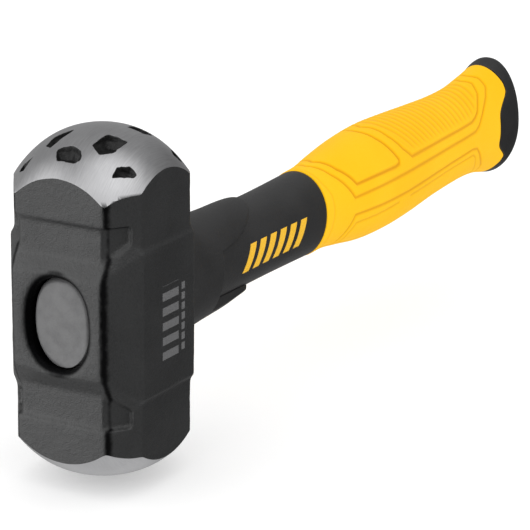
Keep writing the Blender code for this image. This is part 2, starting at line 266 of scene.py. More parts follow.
# %% [markdown]
# ## Grain: the fine tooth of moulded and painted skins
# Moulded plastic, rubber and sprayed paint all carry a fine grain, only at different
# sizes. One group makes it from two noises: a coarse one for the orange peel and a
# fine one for the tooth. Its height feeds a Bump node, and its mask shades colour
# and gloss a little, so that no black on the tool is one flat black.

# %% Grain group
grain_group, gin, gout = new_group(
    "skin_grain",
    [("Size", "NodeSocketFloat", 1.0), ("Peel", "NodeSocketFloat", 0.5)],
    [("Height", "NodeSocketFloat"), ("Mask", "NodeSocketFloat")])
where = place(grain_group, "ShaderNodeTexCoord")
frequency = maths(grain_group, "DIVIDE", 1000.0, gin.outputs["Size"])
tooth = place(grain_group, "ShaderNodeTexNoise", in_Detail=2.0, in_Roughness=0.6)
peel = place(grain_group, "ShaderNodeTexNoise", in_Detail=3.0, in_Roughness=0.55)
cloud = place(grain_group, "ShaderNodeTexNoise", in_Scale=45.0, in_Detail=3.0)
for node in (tooth, peel, cloud):
    grain_group.links.new(where.outputs["Object"], node.inputs["Vector"])
grain_group.links.new(frequency, tooth.inputs["Scale"])
grain_group.links.new(maths(grain_group, "MULTIPLY", frequency, 0.33), peel.inputs["Scale"])
height = maths(grain_group, "MULTIPLY_ADD", peel.outputs[0], gin.outputs["Peel"], tooth.outputs[0])
grain_group.links.new(height, gout.inputs["Height"])
shade = maths(grain_group, "ADD", maths(grain_group, "MULTIPLY", tooth.outputs[0], 0.5),
              maths(grain_group, "MULTIPLY", cloud.outputs[0], 0.5))
grain_group.links.new(ramp(grain_group, shade, 0.35, 0.65), gout.inputs["Mask"])


# %% [markdown]
# ## Print: flat blocks of ink
# Tool makers pad-print marks on the neck and on the cheek of the head. Here plain
# blocks stand in for them. The group gives a mask for a row of bars inside a
# rectangle: Along and Across are the two distances on the surface, and Lean slants
# the bars.

# %% Print group
print_group, pin, pout = new_group(
    "printed_bars",
    [("Along", "NodeSocketFloat", 0.0), ("Across", "NodeSocketFloat", 0.0),
     ("Start", "NodeSocketFloat", 0.0), ("Length", "NodeSocketFloat", 0.01),
     ("Low", "NodeSocketFloat", 0.0), ("High", "NodeSocketFloat", 0.01),
     ("Pitch", "NodeSocketFloat", 0.01), ("Fill", "NodeSocketFloat", 0.6),
     ("Lean", "NodeSocketFloat", 0.0)],
    [("Mask", "NodeSocketFloat")])
leaning = maths(print_group, "MULTIPLY", pin.outputs["Across"], pin.outputs["Lean"])
run = maths(print_group, "SUBTRACT", maths(print_group, "SUBTRACT", pin.outputs["Along"], leaning),
            pin.outputs["Start"])
in_row = maths(print_group, "MULTIPLY", maths(print_group, "GREATER_THAN", run, 0.0),
               maths(print_group, "LESS_THAN", run, pin.outputs["Length"]))
tall = maths(print_group, "MULTIPLY",
             maths(print_group, "GREATER_THAN", pin.outputs["Across"], pin.outputs["Low"]),
             maths(print_group, "LESS_THAN", pin.outputs["Across"], pin.outputs["High"]))
phase = maths(print_group, "FRACT", maths(print_group, "DIVIDE", run, pin.outputs["Pitch"]))
bar = maths(print_group, "LESS_THAN", phase, pin.outputs["Fill"])
print_group.links.new(maths(print_group, "MULTIPLY", maths(print_group, "MULTIPLY", in_row, tall), bar),
                      pout.inputs["Mask"])


# %% [markdown]
# ## Painted and ground steel
# The head is forged, dipped in black paint, and then both striking faces are ground
# bright. The ground surface is exactly the crown: a dome that falls away from the
# middle. So the material works out how far a point lies below the crown: on it the
# steel shows, and below it, on the flanks and in the pockets, the paint stays.
#
# Painted shade makes the head almost black along the four long corners, in the eye's
# recess and in the pockets. A mask turns the surface there towards near-black metal,
# which takes its gloss away, a painted dark reflection. It is fixed to the head, so it stays put in every
# light.

# %% Crown formula and its material
CROWN_TOP = 16.0
CROWN_BOTTOM = 11.5
CROWN_4 = 1.0e4


def crown(radius, top):
    """Height of a striking face above or below the eye at a radius."""
    height, curve = (FACE_TOP, CROWN_TOP) if top else (FACE_BOTTOM, CROWN_BOTTOM)
    return height - curve * radius**2 - CROWN_4 * radius**4


def below_crown(tree, x, y, z, top):
    """Nodes for how far a point lies under one of the crowns."""
    height, curve = (FACE_TOP, CROWN_TOP) if top else (FACE_BOTTOM, CROWN_BOTTOM)
    square = maths(tree, "ADD", maths(tree, "MULTIPLY", x, x), maths(tree, "MULTIPLY", y, y))
    fall = maths(tree, "MULTIPLY", square, maths(tree, "MULTIPLY_ADD", square, CROWN_4, curve))
    surface = maths(tree, "SUBTRACT", height, fall)
    return maths(tree, "SUBTRACT", surface, z if top else maths(tree, "MULTIPLY", z, -1.0))


def eye_coordinates(tree):
    """X, Y and Z of the shaded point from the eye's middle, as sockets."""
    where = place(tree, "ShaderNodeTexCoord")
    shift = place(tree, "ShaderNodeVectorMath", operation="SUBTRACT")
    tree.links.new(where.outputs["Object"], shift.inputs[0])
    shift.inputs[1].default_value = EYE
    split = place(tree, "ShaderNodeSeparateXYZ")
    tree.links.new(shift.outputs[0], split.inputs[0])
    return shift.outputs[0], split.outputs[0], split.outputs[1], split.outputs[2]


# Where the painted shade lies: along the long corners, in the eye's recess and in the pockets.
CORNER_LINE = 0.0157
CORNER_FADE = (0.0006, 0.0016)
CORNER_WAVER = 0.0009
CORNER_SHADE = 0.92
RECESS_HALF = (0.0122, 0.0158)
RECESS_FLOOR = (0.0240, 0.0247)
FACET_NORMAL = (0.572, 0.820)
POCKET_ZONE = (0.0215, 0.0208, 0.0245)
POCKET_LOWEST = 0.03


def painted_shade_masks(tree, spot, x, y, z, below):
    """Masks of painted shade on the head: one for its long corners and the eye's recess, one for its pockets.
    """
    ax, ay = maths(tree, "ABSOLUTE", x), maths(tree, "ABSOLUTE", y)
    waver = place(tree, "ShaderNodeTexNoise", in_Scale=420.0, in_Detail=3.0)
    tree.links.new(spot, waver.inputs["Vector"])
    off_corner = maths(tree, "ABSOLUTE", maths(tree, "SUBTRACT", ay, CORNER_LINE))
    off_corner = maths(tree, "MULTIPLY_ADD", waver.outputs[0], CORNER_WAVER, off_corner)
    corner = maths(tree, "MULTIPLY", ramp(tree, off_corner, *CORNER_FADE, CORNER_SHADE, 0.0),
                   ramp(tree, ax, 0.0195, 0.0205))
    across = maths(tree, "DIVIDE", y, RECESS_HALF[0])
    along = maths(tree, "DIVIDE", z, RECESS_HALF[1])
    oval = maths(tree, "MULTIPLY_ADD", across, across, maths(tree, "MULTIPLY", along, along))
    recess = maths(tree, "MULTIPLY", ramp(tree, oval, 0.95, 1.1, 1.0, 0.0),
                   ramp(tree, ax, *RECESS_FLOOR, 1.0, 0.0))
    facet = maths(tree, "MULTIPLY_ADD", ax, FACET_NORMAL[0], maths(tree, "MULTIPLY", ay, FACET_NORMAL[1]))
    within = maths(tree, "MULTIPLY", maths(tree, "LESS_THAN", ax, POCKET_ZONE[0]),
                   maths(tree, "MULTIPLY", maths(tree, "LESS_THAN", ay, POCKET_ZONE[1]),
                         maths(tree, "LESS_THAN", facet, POCKET_ZONE[2])))
    pocket_shade = maths(tree, "MULTIPLY", within, maths(tree, "MULTIPLY", ramp(tree, below, 0.0001, 0.0005),
                                                   maths(tree, "GREATER_THAN", z, POCKET_LOWEST)))
    return maths(tree, "MAXIMUM", corner, recess), pocket_shade


def steel_head_material():
    made, tree, shader = new_material("forged_and_ground_steel", Specular_IOR_Level=0.9)
    spot, x, y, z = eye_coordinates(tree)
    top = below_crown(tree, x, y, z, True)
    bottom = below_crown(tree, x, y, z, False)
    nearest = maths(tree, "MINIMUM", top, bottom)
    ground = ramp(tree, nearest, 0.00005, 0.00009, 1.0, 0.0)

    stretch = place(tree, "ShaderNodeMapping")
    stretch.inputs["Rotation"].default_value = (0.0, 0.0, math.radians(38))
    stretch.inputs["Scale"].default_value = (160.0, 4200.0, 300.0)
    tree.links.new(spot, stretch.inputs["Vector"])
    lines = place(tree, "ShaderNodeTexNoise", in_Scale=1.0, in_Detail=4.0, in_Roughness=0.65)
    tree.links.new(stretch.outputs[0], lines.inputs["Vector"])
    clouds = place(tree, "ShaderNodeTexNoise", in_Scale=70.0, in_Detail=3.0)
    tree.links.new(spot, clouds.inputs["Vector"])
    steel = blend_colour(tree, ramp(tree, lines.outputs[0], 0.3, 0.7), (0.47, 0.47, 0.48), (0.58, 0.58, 0.59))
    steel = blend_colour(tree, ramp(tree, clouds.outputs[0], 0.35, 0.7, 0.0, 0.35), steel, (0.34, 0.34, 0.35))

    grain = use_group(tree, grain_group, Size=0.42, Peel=1.3)
    paint = blend_colour(tree, grain.outputs["Mask"], (0.009, 0.0095, 0.010), (0.016, 0.0165, 0.017))
    ink = use_group(tree, print_group, Start=-0.0128, Length=0.0226, Low=-0.0038, High=0.0050,
                    Pitch=0.0045, Fill=0.55)
    small = use_group(tree, print_group, Start=-0.0123, Length=0.0213, Low=0.0066, High=0.0084,
                      Pitch=0.0031, Fill=0.70)
    for node in (ink, small):
        tree.links.new(z, node.inputs["Along"])
        tree.links.new(x, node.inputs["Across"])
    cheek = maths(tree, "GREATER_THAN", maths(tree, "ABSOLUTE", y), 0.0222)
    inked = maths(tree, "MULTIPLY", maths(tree, "MAXIMUM", ink.outputs[0], small.outputs[0]), cheek)
    paint = blend_colour(tree, inked, paint, (0.11, 0.11, 0.113))
    black, pocket_shade = painted_shade_masks(tree, spot, x, y, z, nearest)
    black = maths(tree, "MULTIPLY", black, maths(tree, "SUBTRACT", 1.0, ground))
    # Painted shade: near-black in the pockets, then along the long corners and in the eye's recess.
    paint = blend_colour(tree, maths(tree, "MULTIPLY", pocket_shade, 0.8), paint, (0.003, 0.003, 0.003))
    paint = blend_colour(tree, black, paint, (0.006, 0.006, 0.0065))
    tree.links.new(blend_colour(tree, ground, paint, steel), shader.inputs["Base Color"])
    # The painted shade also turns metallic, so its near-black base mirrors almost nothing: a painted dark
    # reflection.
    shaded = maths(tree, "MAXIMUM", black, maths(tree, "MULTIPLY", pocket_shade, 0.45))
    tree.links.new(maths(tree, "MAXIMUM", ground, shaded), shader.inputs["Metallic"])
    dull = ramp(tree, grain.outputs["Mask"], 0.0, 1.0, 0.42, 0.54)
    bright = ramp(tree, lines.outputs[0], 0.2, 0.8, 0.27, 0.40)
    gloss = maths(tree, "MULTIPLY_ADD", maths(tree, "SUBTRACT", bright, dull), ground, dull)
    tree.links.new(gloss, shader.inputs["Roughness"])
    tool_lines = maths(tree, "MULTIPLY", lines.outputs[0], 0.10)
    height = maths(tree, "MULTIPLY_ADD", maths(tree, "SUBTRACT", tool_lines, grain.outputs["Height"]),
                   ground, grain.outputs["Height"])
    bump(tree, shader, height, 0.00016)
    return made


# %% [markdown]
# ## The forged head
# A forging has no sharp corner: the steel flows round each one, and dipping in paint
# softens it more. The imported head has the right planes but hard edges, and its
# crowns are already cut. So the work goes in the order of the shop. First comes the
# forging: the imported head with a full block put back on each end, turned into one
# even mesh of small squares (a voxel remesh) and smoothed a few times. Bevels would
# need each edge picked out, and they fail where many planes meet at one corner.

# %% Outline of the end blocks
END_X, END_Y, CORNER_R = 0.0229, 0.0153, 0.0016
CHEEK_X, CHEEK_Y, CREASE_R = 0.0133, 0.0220, 0.0008
BLOCK_START = 0.0360
BLOCK_END = 0.0600


def rounded(corners):
    """Outline with its corners rounded; each corner is (x, y, radius)."""
    points = []
    for i, (x, y, radius) in enumerate(corners):
        here = Vector((x, y))
        before = (Vector(corners[i - 1][:2]) - here).normalized()
        after = (Vector(corners[(i + 1) % len(corners)][:2]) - here).normalized()
        half = 0.5 * before.angle(after)
        centre = here + (before + after).normalized() * (radius / math.sin(half))
        start = here + before * (radius / math.tan(half)) - centre
        end = here + after * (radius / math.tan(half)) - centre
        points += [centre + radius * start.slerp(end, step / 3) for step in range(4)]
    return points


def head_outline():
    quarter = [(END_X, END_Y, CORNER_R), (CHEEK_X, CHEEK_Y, CREASE_R)]
    left = [(-x, y, r) for x, y, r in reversed(quarter)]
    below = [(-x, -y, r) for x, y, r in quarter + left]
    return rounded(quarter + left + below)


# %% Forge it
HEAD_VOXEL = 0.00050
SOFTENING = 9
FORGING_WAVE = 0.00009


def add_block(bm, low, high):
    """A prism of the head's outline, added to a mesh that is drawn around the eye."""
    face = bm.faces.new([bm.verts.new((p.x, p.y, low)) for p in head_outline()])
    raised = bmesh.ops.extrude_face_region(bm, geom=[face])["geom"]
    top = [item for item in raised if isinstance(item, bmesh.types.BMVert)]
    bmesh.ops.translate(bm, verts=top, vec=(0.0, 0.0, high - low))


def as_object(name, mesh):
    made = bpy.data.objects.new(name, mesh)
    bpy.context.scene.collection.objects.link(made)
    return made


def applied(name, thing):
    """Mesh of an object as its modifiers leave it; the object itself is thrown away."""
    bpy.context.view_layer.update()
    shaped = bpy.data.meshes.new_from_object(thing.evaluated_get(bpy.context.evaluated_depsgraph_get()))
    shaped.name = name
    bpy.data.objects.remove(thing)
    return shaped


def forging():
    """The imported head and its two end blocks, drawn around the eye and made one even mesh."""
    bm = bmesh.new()
    bm.from_mesh(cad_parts["head"].data)
    bmesh.ops.remove_doubles(bm, verts=bm.verts, dist=1e-6)
    bmesh.ops.translate(bm, verts=bm.verts, vec=-EYE)
    add_block(bm, BLOCK_START, BLOCK_END)
    add_block(bm, -BLOCK_END, -BLOCK_START)
    bmesh.ops.recalc_face_normals(bm, faces=bm.faces)
    mesh = bpy.data.meshes.new("forging")
    bm.to_mesh(mesh)
    bm.free()
    rough = as_object("forging", mesh)
    remesh = rough.modifiers.new("even", "REMESH")
    remesh.mode = "VOXEL"
    remesh.voxel_size = HEAD_VOXEL
    soften = rough.modifiers.new("soften", "SMOOTH")
    soften.factor = 0.5
    soften.iterations = SOFTENING
    return applied("forging", rough)


def hammered(mesh):
    """Low waves in the skin, pressed inward only."""
    normals = [vert.normal.copy() for vert in mesh.vertices]
    spots = [vert.co.copy() for vert in mesh.vertices]
    for i, (spot, normal) in enumerate(zip(spots, normals)):
        wave = noise.noise(spot * 150.0) + 0.5 * noise.noise(spot * 420.0)
        spots[i] = spot - normal * (FORGING_WAVE * (1.0 + wave))
    mesh.vertices.foreach_set("co", np.array(spots).ravel())
    mesh.update()
    return mesh


forged = as_object("forged", hammered(forging()))
print("forging", len(forged.data.polygons), "faces")

# %% [markdown]
# ## Grinding the faces
# Grinding takes the end blocks down to a dome. Crossing the forging with a turned
# blank whose two ends are the crowns does the same, and it leaves the crisp rim that
# a grinder leaves. The two meshes are closed and dense, so the quick MANIFOLD solver
# is the right one.

# %% Grind both crowns
BLANK_RADIUS = 0.034
BLANK_RINGS = 36
BLANK_ROUND = 192


def turned(name, profile, count):
    """Mesh of a profile of (radius, height) turned about Z; both ends lie on the axis."""
    spin = np.arange(count) * 2.0 * math.pi / count
    points = [(0.0, 0.0, profile[0][1])]
    for radius, height in profile[1:-1]:
        points += [(radius * math.cos(a), radius * math.sin(a), height) for a in spin]
    points.append((0.0, 0.0, profile[-1][1]))
    rows = len(profile) - 2
    faces = []
    for i in range(count):
        j = (i + 1) % count
        faces.append((0, 1 + i, 1 + j))
        faces.append((len(points) - 1, 1 + (rows - 1) * count + j, 1 + (rows - 1) * count + i))
        for row in range(rows - 1):
            near, far = 1 + row * count, 1 + (row + 1) * count
            faces.append((near + i, far + i, far + j, near + j))
    mesh = bpy.data.meshes.new(name)
    mesh.from_pydata(points, [], faces)
    bm = bmesh.new()
    bm.from_mesh(mesh)
    bmesh.ops.recalc_face_normals(bm, faces=bm.faces)
    bm.to_mesh(mesh)
    bm.free()
    return mesh


def machine(thing, tool, operation):
    """Cut or cross one object with another at once, and drop the tool."""
    cut = thing.modifiers.new("cut", "BOOLEAN")
    cut.operation = operation
    cut.solver = "MANIFOLD"
    cut.object = tool
    bpy.context.view_layer.update()
    shaped = bpy.data.meshes.new_from_object(thing.evaluated_get(bpy.context.evaluated_depsgraph_get()))
    thing.modifiers.clear()
    thing.data = shaped
    bpy.data.objects.remove(tool)


radii = np.linspace(0.0, BLANK_RADIUS, BLANK_RINGS)
upper = [(r, crown(r, True)) for r in radii]
lower = [(r, -crown(r, False)) for r in radii]
machine(forged, as_object("blank", turned("blank", upper + lower[::-1], BLANK_ROUND)), "INTERSECT")
print("ground", len(forged.data.polygons), "faces")

# %% [markdown]
# ## Pockets in the upper face
# The upper face has shallow pockets that were struck in while it was hot and still
# hold black paint. Each one is cut with a plug of its own: the corner points are
# joined by a soft line, the walls lean in and wander a little, and the floor is
# uneven, because nothing about a hot stamp is exact.

# %% Cut the pockets
POCKETS = {
    "edge_left": [(-18.5, 15.0), (-14.6, 13.6), (-15.2, 17.0), (-17.2, 17.8)],
    "long_left": [(-5.6, 5.4), (-8.0, 5.6), (-15.6, 8.2), (-13.2, 11.8), (-8.6, 10.2)],
    "front": [(-19.4, 3.9), (-15.2, 5.0), (-13.6, 0.8), (-15.0, -3.0), (-17.6, -4.7), (-19.4, -3.7)],
    "diamond": [(-12.0, -4.6), (-5.4, -5.7), (-4.2, -11.8), (-12.0, -11.9), (-15.6, -8.2)],
    "half_moon": [(-17.2, -14.2), (-13.8, -14.0), (-10.8, -16.6), (-10.6, -19.2), (-12.0, -19.4)],
    "long_right": [(4.0, -6.2), (8.2, -5.4), (13.0, -9.4), (8.8, -12.2), (5.4, -11.0)],
    "edge_right": [(9.4, -18.4), (13.0, -15.4), (14.6, -17.6), (12.0, -20.4)],
    "rear": [(19.4, -3.4), (15.2, -4.4), (13.4, 0.6), (15.2, 3.4), (18.0, 4.4), (19.4, 3.0)],
    "diamond_far": [(12.0, 5.6), (5.0, 5.0), (4.4, 10.8), (11.4, 12.4), (15.0, 9.2)],
    "half_moon_far": [(-2.0, 15.2), (5.6, 15.0), (7.0, 17.6), (4.4, 19.8), (-1.0, 19.0)],
    "edge_far": [(17.4, 13.4), (14.0, 13.6), (11.2, 16.4), (11.8, 19.0), (14.2, 18.0)],
}
POCKET_DEPTH = 0.0022
POCKET_FLOOR = 0.70
POCKET_ROUND = 72
POCKET_STEPS = 9
WALL_WANDER = 0.00022
FLOOR_WANDER = 0.00016
FLOOR_SINK = 0.00028


def softened_line(corners):
    """Even points along a closed line through the corners, with each corner eased."""
    spots = np.array(corners) * MM
    sides = np.roll(spots, -1, axis=0) - spots
    run = np.concatenate([[0.0], np.cumsum(np.hypot(sides[:, 0], sides[:, 1]))])
    along = np.linspace(0.0, run[-1], POCKET_ROUND, endpoint=False)
    closed = np.vstack([spots, spots[:1]])
    line = np.stack([np.interp(along, run, closed[:, k]) for k in (0, 1)], axis=-1)
    for _ in range(2):
        line = 0.25 * np.roll(line, 1, axis=0) + 0.5 * line + 0.25 * np.roll(line, -1, axis=0)
    return line


def wandering(x, y, z):
    return noise.noise(Vector((x, y, z)) * 620.0) + 0.6 * noise.noise(Vector((x, y, z)) * 1500.0)


def pocket_plug(name, corners):
    """Closed plug: straight above the face, then leaning walls, then a closed uneven floor."""
    line = softened_line(corners)
    middle = line.mean(axis=0)
    face = crown(float(np.hypot(*middle)), True)
    levels = [(FACE_TOP + 0.004, 1.06)]
    for t in np.linspace(-0.25, 1.0, POCKET_STEPS):
        levels.append((face - POCKET_DEPTH * t, 1.0 - (1.0 - POCKET_FLOOR) * max(t, 0.0) ** 1.4))
    rings = []
    for height, share in levels:
        ring = []
        for x, y in middle + (line - middle) * share:
            push = WALL_WANDER * wandering(x, y, height)
            away = np.array([x, y]) - middle
            away = away / (np.hypot(*away) + 1e-9)
            ring.append((x + away[0] * push, y + away[1] * push, height))
        rings.append(ring)
    for share in (0.8, 0.6, 0.4, 0.2, 0.05):
        rings.append([(middle[0] + (x - middle[0]) * share, middle[1] + (y - middle[1]) * share,
                       z - FLOOR_SINK * (1.0 - share) + FLOOR_WANDER * wandering(x * share, y * share, 0.01))
                      for x, y, z in rings[POCKET_STEPS]])
    return skin(name, np.array(rings) - np.array(EYE))


for name, corners in POCKETS.items():
    machine(forged, as_object("plug", pocket_plug(name, corners)), "DIFFERENCE")
print("pocketed", len(forged.data.polygons), "faces")

# %% Finish the head
head_mesh = forged.data.copy()
bpy.data.objects.remove(forged)
head_mesh.transform(Matrix.Translation(EYE))
head = link("forged_head", head_mesh, steel_head_material())
head_mesh.set_sharp_from_angle(angle=math.radians(36.0))
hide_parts("head")


# %% [markdown]
# ## Resin in the eye
# The fibreglass core is held by resin poured into the eye from the front. It sets a
# little below the steel, with a rounded shoulder, and creeps up the low side of the
# lip where it wetted the steel. Rings of the eye's own oval, shrinking towards the
# middle, follow that surface.

# %% Build the resin plug
EYE_Y = 0.0100
EYE_Z = 0.0136
EYE_SHAPE = 2.3
RESIN_RECESS = 0.0028


def resin_material():
    made, tree, shader = new_material("poured_resin", Roughness=0.42, Specular_IOR_Level=0.45)
    spot, x, y, z = eye_coordinates(tree)
    grain = use_group(tree, grain_group, Size=0.5, Peel=1.0)
    cloud = place(tree, "ShaderNodeTexNoise", in_Scale=230.0, in_Detail=4.0)
    tree.links.new(spot, cloud.inputs["Vector"])
    clouded = ramp(tree, cloud.outputs[0], 0.3, 0.7)
    body = blend_colour(tree, clouded, (0.105, 0.105, 0.107), (0.140, 0.140, 0.142))
    dusty = maths(tree, "MULTIPLY", grain.outputs["Mask"], 0.25)
    tree.links.new(blend_colour(tree, dusty, body, (0.19, 0.19, 0.19)), shader.inputs["Base Color"])
    bump(tree, shader, grain.outputs["Height"], 0.00006)
    return made


def plug_ring(x, share):
    """Ring of the eye's oval, a share of its full size; x may change round the ring."""
    c, s = np.cos(ANGLES), np.sin(ANGLES)
    y = (EYE_Y - GAP) * share * np.sign(c) * np.abs(c) ** (2.0 / EYE_SHAPE)
    z = (EYE_Z - GAP) * share * np.sign(s) * np.abs(s) ** (2.0 / EYE_SHAPE)
    return np.stack([np.ones(ROUND) * x, y, z], axis=-1)


wetted = np.clip(-0.55 * np.cos(ANGLES) - 0.84 * np.sin(ANGLES), 0.0, 1.0) ** 2
plug = [plug_ring(BOSS_X - GAP, 1.0)]
for share in np.linspace(1.0, 0.02, 60):
    shoulder = np.clip((share - 0.86) / 0.14, 0.0, 1.0)
    drop = 0.0014 * shoulder**2.2 * (1.0 - wetted)
    rise = 0.0009 * wetted * np.clip((share - 0.70) / 0.30, 0.0, 1.0) ** 1.6
    dome = 0.0003 * (1.0 - share**2)
    plug.append(plug_ring(-BOSS_X + RESIN_RECESS + drop - rise - dome, share))
potting = link("eye_resin", skin("eye_resin", np.array(plug)), resin_material())
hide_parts("eye_potting")


# %% [markdown]
# ## Black mouldings
# The neck is a hard shell moulded over the core, the collar is a rubber bumper round
# it, and the butt is the same black. All carry the grain group at their own size.
# Only the neck has print: slanting yellow bars on both of its sides.

# %% Black materials
def black_material(name, dark, light, rough, size, peel, depth, printed=False):
    made, tree, shader = new_material(name, Specular_IOR_Level=0.6)
    grain = use_group(tree, grain_group, Size=size, Peel=peel)
    low, high = [(shade, shade, shade * 1.03) for shade in (dark, light)]
    colour = blend_colour(tree, grain.outputs["Mask"], low, high)
    if printed:
        spot, x, y, z = eye_coordinates(tree)
        bars = use_group(tree, print_group, Start=0.0665, Length=0.0380, Low=-0.0062, High=0.0026,
                         Pitch=0.0064, Fill=0.60, Lean=0.45)
        tree.links.new(x, bars.inputs["Along"])
        tree.links.new(z, bars.inputs["Across"])
        colour = blend_colour(tree, bars.outputs[0], colour, (0.90, 0.50, 0.004))
    tree.links.new(colour, shader.inputs["Base Color"])
    tree.links.new(ramp(tree, grain.outputs["Mask"], 0.0, 1.0, rough - 0.06, rough + 0.06),
                   shader.inputs["Roughness"])
    bump(tree, shader, grain.outputs["Height"], depth)
    return made


# %% Build the neck shell
GRIP_START = 0.1160
JACKET_START = BOSS_X + GAP
JACKET_END = 0.2562
CORE_Y = 0.0065
CORE_Z = 0.0090
CORE_END = 0.2500

neck = [rings_on(NECK, between(JACKET_START, GRIP_START, 150)),
        rings_on(TENON, between(GRIP_START, JACKET_END, 24))]
bore = []
for x in (CORE_END + GAP, JACKET_START):
    bore.append(np.stack([np.full(ROUND, x), (CORE_Y + GAP) * np.cos(ANGLES),
                          (CORE_Z + GAP) * np.sin(ANGLES)], axis=-1))
end_wall = [rings_on(TENON, np.array([[JACKET_END]]), -0.0030)]
neck_rings = np.concatenate(neck + end_wall + [np.array(bore)])
shell = link("neck_shell", skin("neck_shell", neck_rings, joined=True),
             black_material("black_shell", 0.013, 0.024, 0.46, 0.34, 0.9, 0.00008, printed=True))
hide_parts("handle_jacket")


# %% [markdown]
# ## Overstrike collar
# The collar takes the blow when a strike overshoots. It is snug round the neck at
# the head, runs out along the top in a rounded tongue and underneath in a narrow
# rib. Its edge is a full round, so the skin curls over to the neck instead of
# ending in a step. The fine rings crowd up near the edge to draw that curl.

# %% Build the collar
COLLAR_SIDE = 0.0490
COLLAR_TOP = 0.0780
TONGUE_LOW = 0.37
COLLAR_RIB = 0.0720
RIB_HALF = 0.62
LIP = 0.0009


def collar_end():
    """Where the collar stops at each angle, with the rib's corners eased."""
    c, s = np.cos(ANGLES), np.sin(ANGLES)
    up_tongue = np.clip((s - TONGUE_LOW) / (1.0 - TONGUE_LOW), 0.0, 1.0)
    tongue = COLLAR_SIDE + (COLLAR_TOP - COLLAR_SIDE) * np.sqrt(up_tongue)
    rib = np.clip((RIB_HALF - np.abs(c)) / 0.05 + 0.5, 0.0, 1.0) * (s < 0)
    return tongue + (COLLAR_RIB - COLLAR_SIDE) * rib * rib * (3.0 - 2.0 * rib)


def collar_rings():
    edge = collar_end()
    run = np.concatenate([np.linspace(0.0, 0.94, 70), 1.0 - 0.06 * np.linspace(0.97, 0.0, 16) ** 2])
    places = JACKET_START + run[:, None] * (edge - JACKET_START)
    outside = rings_on(COLLAR, places)
    neck_side = rings_on(NECK, places, GAP)
    left = np.clip((edge - places) / LIP, 0.0, 1.0)
    full = np.sqrt(1.0 - (1.0 - left) ** 2)[..., None]
    lipped = neck_side + (outside - neck_side) * full
    lipped[..., 0] = places
    return np.concatenate([lipped, rings_on(NECK, places[::-6], GAP * 0.5)])


collar = link("overstrike_bumper", skin("overstrike_bumper", collar_rings(), joined=True),
              black_material("black_bumper_rubber", 0.012, 0.022, 0.52, 0.40, 1.0, 0.00008))
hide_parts("overstrike_collar")


# %% [markdown]
# ## Grooves in the grip
# The yellow grip is soft and moulded in one shot, so its grooves are real: thin
# channels that frame a thumb pad, a ribbed palm pad and a pad for the fingers. They
# are drawn on the unrolled grip, as distance along the handle and degrees down from
# the top, and mirrored to the other side. Each point of the fine skin sinks by how
# near it is to the closest line. Bump alone would leave the outline smooth.

# %% Lines on the unrolled grip
THUMB_PAD = [(126.0, 0), (127.2, 10), (129.6, 36), (135.6, 67), (160.0, 68.5), (162.6, 67), (163.0, 63),
             (160.6, 50), (157.2, 29), (155.2, 8), (155.0, 0)]
LONG_LINE = [(121.6, 0), (122.6, 10), (125.4, 38), (133.4, 82), (226.4, 76), (230.0, 72), (232.6, 66),
             (240.6, 46), (243.6, 35), (243.6, 19), (241.8, 4), (241.6, 0)]
PALM_PAD = [(159.4, 0), (161.2, 10), (163.8, 34), (167.8, 54), (172.4, 66.5), (224.6, 63.5), (228.4, 60.5),
            (231.2, 56), (236.7, 36), (238.4, 18), (236.9, 4), (236.6, 0)]
FINGER_PAD = [(129.4, 180), (129.8, 150), (130.6, 134), (134.0, 104), (223.6, 95.5), (227.8, 98),
              (230.8, 107), (238.4, 135), (240.2, 160), (240.4, 180)]
FINGER_FRONT = [(133.4, 150), (133.8, 130), (135.8, 116), (162.0, 109)]
FINGER_BACK = [(170.6, 107.5), (224.6, 104.5), (227.4, 110), (233.8, 141), (234.6, 158)]
FRONT_RING = [(117.4, 0), (117.6, 20), (118.4, 44), (120.8, 66), (121.2, 90), (120.4, 120), (119.6, 180)]
MM_PER_DEGREE = 0.29
RIB_FIRST = 167.0
RIB_PITCH = 3.75
RIB_COUNT = 18


def distance_to(line, along, down):
    """Distance in millimetres from points on the unrolled grip to a line on it."""
    spots = np.array(line, float) * (1.0, MM_PER_DEGREE)
    least = np.full(along.shape, 1e9)
    for (ax, ay), (bx, by) in zip(spots[:-1], spots[1:]):
        dx, dy = bx - ax, by - ay
        t = np.clip(((along - ax) * dx + (down - ay) * dy) / (dx * dx + dy * dy), 0.0, 1.0)
        least = np.minimum(least, np.hypot(along - ax - t * dx, down - ay - t * dy))
    return least


def smooth(value, low, high):
    t = np.clip((value - low) / (high - low), 0.0, 1.0)
    return t * t * (3.0 - 2.0 * t)


def inside(line, along, down):
    """True between a line and the mirror plane that both of its ends lie on."""
    spots = np.array(line, float) * (1.0, MM_PER_DEGREE)
    crossed = np.zeros(along.shape, bool)
    for (ax, ay), (bx, by) in zip(spots, np.roll(spots, -1, axis=0)):
        span = (ay > down) != (by > down)
        where = ax + (down - ay) * (bx - ax) / np.where(abs(by - ay) > 1e-9, by - ay, 1e-9)
        crossed ^= span & (along < where)
    return crossed


